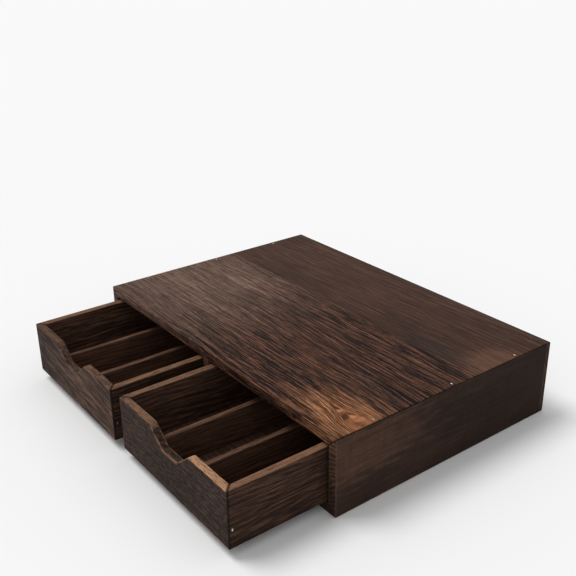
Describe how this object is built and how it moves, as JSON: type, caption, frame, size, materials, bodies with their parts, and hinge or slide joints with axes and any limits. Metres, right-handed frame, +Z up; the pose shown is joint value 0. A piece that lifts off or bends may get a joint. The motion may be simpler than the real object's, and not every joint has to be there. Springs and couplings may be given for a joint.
{
  "type": "coffee pod drawer",
  "caption": "Low stained-wood cabinet with side-by-side sliding drawers, each with a finger notch and divided lanes for coffee pods; its flat top carries a machine.",
  "frame": {"origin": "centre of the cabinet's underside, on the surface that it stands on", "axes": "+X to the right seen from the front, +Y from the front to the back, +Z up; the drawers pull out towards -Y"},
  "size_m": [0.42, 0.396, 0.083],
  "materials": {
    "top_wood": "satin, stained and scorched softwood",
    "cabinet_wood": "satin, dark stained softwood",
    "drawer_wood": "satin, dark stained softwood with lighter edges",
    "divider_wood": "matte, dark stained softwood",
    "panel_wood": "matte, dark stained panel",
    "brad_steel": "bright steel"
  },
  "bodies": {
    "cabinet": {"top_front_plank": "top_wood", "top_rear_plank": "top_wood", "bottom_board": "cabinet_wood", "left_side_board": "cabinet_wood", "right_side_board": "cabinet_wood", "back_panel": "panel_wood", "center_partition": "cabinet_wood", "top_brads": "brad_steel", "bottom_brads": "brad_steel", "back_brads": "brad_steel"},
    "left_drawer": {"left_drawer_front": "drawer_wood", "left_drawer_back": "drawer_wood", "left_drawer_left_side": "drawer_wood", "left_drawer_right_side": "drawer_wood", "left_drawer_bottom": "panel_wood", "left_drawer_left_divider": "divider_wood", "left_drawer_right_divider": "divider_wood", "left_drawer_corner_brads": "brad_steel"},
    "right_drawer": {"right_drawer_front": "drawer_wood", "right_drawer_back": "drawer_wood", "right_drawer_left_side": "drawer_wood", "right_drawer_right_side": "drawer_wood", "right_drawer_bottom": "panel_wood", "right_drawer_left_divider": "divider_wood", "right_drawer_right_divider": "divider_wood", "right_drawer_corner_brads": "brad_steel"}
  },
  "joints": [
    {"name": "left_drawer_slide", "type": "slide", "parent": "cabinet", "child": "left_drawer", "axis": [0, -1, 0], "range_m": [-0.105, 0.133]},
    {"name": "right_drawer_slide", "type": "slide", "parent": "cabinet", "child": "right_drawer", "axis": [0, -1, 0], "range_m": [-0.104, 0.134]}
  ]
}
